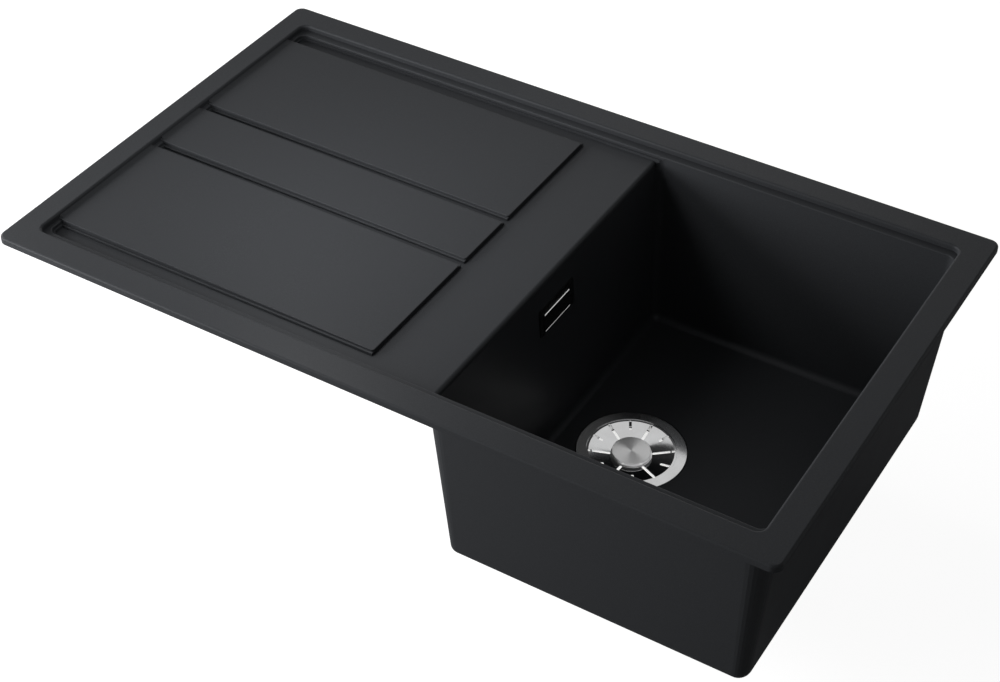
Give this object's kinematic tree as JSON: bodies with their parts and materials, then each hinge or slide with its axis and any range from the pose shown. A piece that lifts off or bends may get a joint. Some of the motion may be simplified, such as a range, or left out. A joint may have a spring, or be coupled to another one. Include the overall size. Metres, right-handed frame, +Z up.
{
  "type": "kitchen sink with drainboard",
  "caption": "Inset kitchen sink with a deep square bowl, a ribbed drainboard, a strainer with a pull-up plug, an overflow and fixing clips.",
  "frame": {"origin": "centre of the worktop cut-out, in the plane of the worktop, which is the underside of the rim", "axes": "+X from the drainboard to the bowl, +Y from the front to the back, +Z up"},
  "size_m": [0.86, 0.515, 0.3046],
  "materials": {
    "composite": "matt, fine-grained dark composite",
    "foam": "closed-cell foam",
    "black_plastic": "satin black",
    "dark_plastic": "moulded",
    "white_plastic": "moulded",
    "light_plastic": "moulded, translucent white",
    "seal": "soft seal",
    "polished_steel": "polished stainless steel",
    "turned_steel": "finely turned stainless steel",
    "plated_steel": "zinc plated",
    "brass": "plain"
  },
  "bodies": {
    "sink": {"sink_body": "composite", "rim_seal": "foam", "overflow_frame": "black_plastic", "overflow_cover": "black_plastic", "overflow_bars": "polished_steel", "overflow_plate": "black_plastic", "overflow_gasket": "seal", "overflow_housing": "white_plastic", "overflow_screws": "plated_steel", "overflow_pipe": "white_plastic", "pipe_nut_upper": "white_plastic", "pipe_nut_lower": "white_plastic", "pipe_washer_upper": "seal", "pipe_washer_lower": "seal", "strainer_flange": "polished_steel", "flange_seal": "seal", "floor_seal": "seal", "waste_body": "white_plastic", "waste_inlet": "white_plastic", "waste_outlet": "white_plastic", "clamp_screw": "plated_steel", "clamp_insert": "brass", "clip_screws": "plated_steel", "clip_inserts": "brass", "clip_washers": "plated_steel"},
    "basket": {"basket_dish": "polished_steel", "basket_sieve": "light_plastic", "guide_bush": "dark_plastic", "bush_nut": "plated_steel"},
    "stopper": {"knob": "turned_steel", "stem": "turned_steel", "plug_plate": "dark_plastic", "plug_nut": "plated_steel", "plug_seal": "seal"},
    "clip_front_left": {"clip_front_left": "plated_steel"},
    "clip_front_right": {"clip_front_right": "plated_steel"},
    "clip_back_left": {"clip_back_left": "plated_steel"},
    "clip_back_right": {"clip_back_right": "plated_steel"}
  },
  "joints": [
    {"name": "basket_lift", "type": "slide", "parent": "sink", "child": "basket", "axis": [0, 0, 1], "range_m": [0, 0.24]},
    {"name": "plug_pull", "type": "slide", "parent": "basket", "child": "stopper", "axis": [0, 0, 1], "range_m": [0, 0.008]},
    {"name": "front_left_clip_turn", "type": "hinge", "parent": "sink", "child": "clip_front_left", "pos_m": [-0.337, -0.2085, -0.0365], "axis": [0, 0, 1], "continuous": true},
    {"name": "front_right_clip_turn", "type": "hinge", "parent": "sink", "child": "clip_front_right", "pos_m": [0.0012, -0.2085, -0.0365], "axis": [0, 0, 1], "continuous": true},
    {"name": "back_left_clip_turn", "type": "hinge", "parent": "sink", "child": "clip_back_left", "pos_m": [-0.337, 0.2085, -0.0365], "axis": [0, 0, 1], "continuous": true},
    {"name": "back_right_clip_turn", "type": "hinge", "parent": "sink", "child": "clip_back_right", "pos_m": [0.0012, 0.2085, -0.0365], "axis": [0, 0, 1], "continuous": true}
  ]
}
